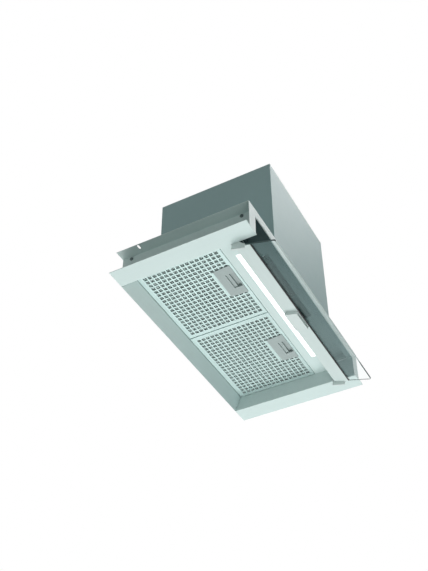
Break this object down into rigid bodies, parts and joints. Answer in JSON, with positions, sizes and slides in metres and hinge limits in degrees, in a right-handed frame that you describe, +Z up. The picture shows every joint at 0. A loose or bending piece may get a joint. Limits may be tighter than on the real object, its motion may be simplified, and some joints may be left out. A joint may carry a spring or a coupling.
{
  "type": "canopy range hood",
  "caption": "Built-in kitchen hood with a folded steel body, tilting clear visor, perforated grease filters, a light strip and a boxed motor with a round duct outlet on top.",
  "frame": {"origin": "midpoint between the two mounting slots, on the upper face of the side flanges", "axes": "+Z up, towards the duct outlet; -Y towards the front, where the visor is; +X to the right, seen from the front"},
  "size_m": [0.598, 0.3466, 0.3883],
  "materials": {
    "body_paint": "smooth silver-grey coat, satin",
    "box_paint": "smooth grey coat, satin",
    "screws": "bright zinc plate",
    "filter_metal": "perforated sheet, satin",
    "filter_mesh": "expanded mesh layers",
    "latch_plastic": "moulded grey plastic, fine texture",
    "diffuser": "milky light cover",
    "light_metal": "folded channel",
    "circuit_board": "coated circuit board",
    "duct_plastic": "moulded black plastic",
    "axle_steel": "ground steel rod",
    "blower_plastic": "moulded black plastic",
    "bracket_metal": "zinc-coated pressing",
    "motor_metal": "grey coated can",
    "rubber": "black rubber",
    "electric_plastic": "black plastic",
    "knob_plastic": "grey plastic",
    "clear_glass": "clear toughened glass, ground edges",
    "visor_metal": "smooth silver-grey coat, satin",
    "visor_plastic": "moulded light grey plastic"
  },
  "bodies": {
    "housing": {"side_panel_left": "body_paint", "side_panel_right": "body_paint", "rear_panel": "body_paint", "front_rail": "body_paint", "light_rail": "body_paint", "top_deck": "body_paint", "motor_box_shell": "box_paint", "motor_box_lid": "box_paint", "side_screws": "screws", "box_screws": "screws", "light_diffuser": "diffuser", "light_channel": "light_metal", "light_board": "circuit_board", "driver_board": "circuit_board", "outlet_spigot": "duct_plastic", "damper_axle": "axle_steel", "scroll_half_left": "blower_plastic", "scroll_half_right": "blower_plastic", "motor_bracket": "bracket_metal", "capacitor_clip": "bracket_metal", "motor_body": "motor_metal", "capacitor": "motor_metal", "motor_pads": "rubber", "terminal_box": "electric_plastic", "cable_gland": "electric_plastic", "driver_box": "electric_plastic", "driver_lid": "electric_plastic", "control_fascia": "electric_plastic", "switch_body": "electric_plastic"},
    "visor": {"visor_glass": "clear_glass", "visor_bar": "visor_metal", "visor_seal": "rubber", "visor_cap_left": "visor_plastic", "visor_cap_right": "visor_plastic", "visor_grip": "visor_plastic", "grip_screws": "screws"},
    "filter_left": {"filter_pan_left": "filter_metal", "filter_rim_left": "filter_metal", "filter_mesh_left": "filter_mesh", "latch_plate_left": "latch_plastic", "latch_spring_left": "latch_plastic"},
    "filter_right": {"filter_pan_right": "filter_metal", "filter_rim_right": "filter_metal", "filter_mesh_right": "filter_mesh", "latch_plate_right": "latch_plastic", "latch_spring_right": "latch_plastic"},
    "latch_left": {"latch_slider_left": "latch_plastic"},
    "latch_right": {"latch_slider_right": "latch_plastic"},
    "blower": {"blower_wheel": "blower_plastic", "motor_shaft": "axle_steel", "wheel_screw": "screws"},
    "damper_left": {"damper_flap_left": "duct_plastic"},
    "damper_right": {"damper_flap_right": "duct_plastic"},
    "light_switch": {"light_knob": "knob_plastic"},
    "speed_switch": {"speed_knob": "knob_plastic"}
  },
  "joints": [
    {"name": "visor_tilt", "type": "hinge", "parent": "housing", "child": "visor", "pos_m": [0, -0.2078, -0.0707], "axis": [-1, 0, 0], "range_deg": [0, 16.2]},
    {"name": "filter_left_swing", "type": "hinge", "parent": "housing", "child": "filter_left", "pos_m": [-0.12685, 0.0317, -0.0377], "axis": [1, 0, 0], "range_deg": [0, 70], "deforming": ["latch_spring_left"]},
    {"name": "latch_left_slide", "type": "slide", "parent": "filter_left", "child": "latch_left", "axis": [0, 1, 0], "range_m": [0, 0.006], "stiffness_N_per_m": 300, "springref_m": -0.005, "deforming": ["latch_spring_left"]},
    {"name": "filter_right_swing", "type": "hinge", "parent": "housing", "child": "filter_right", "pos_m": [0.12685, 0.0317, -0.0377], "axis": [1, 0, 0], "range_deg": [0, 70], "deforming": ["latch_spring_right"]},
    {"name": "latch_right_slide", "type": "slide", "parent": "filter_right", "child": "latch_right", "axis": [0, 1, 0], "range_m": [0, 0.006], "stiffness_N_per_m": 300, "springref_m": -0.005, "deforming": ["latch_spring_right"]},
    {"name": "blower_spin", "type": "hinge", "parent": "housing", "child": "blower", "pos_m": [-0.0165, -0.1651, 0.1078], "axis": [1, 0, 0], "continuous": true},
    {"name": "damper_left_flap", "type": "hinge", "parent": "housing", "child": "damper_left", "pos_m": [-0.0165, -0.1171, 0.2483], "axis": [0, 1, 0], "range_deg": [0, 72]},
    {"name": "damper_right_flap", "type": "hinge", "parent": "housing", "child": "damper_right", "pos_m": [-0.0165, -0.1171, 0.2483], "axis": [0, -1, 0], "range_deg": [0, 72]},
    {"name": "light_slide", "type": "slide", "parent": "housing", "child": "light_switch", "axis": [1, 0, 0], "range_m": [0, 0.008]},
    {"name": "speed_slide", "type": "slide", "parent": "housing", "child": "speed_switch", "axis": [1, 0, 0], "range_m": [0, 0.018]}
  ]
}
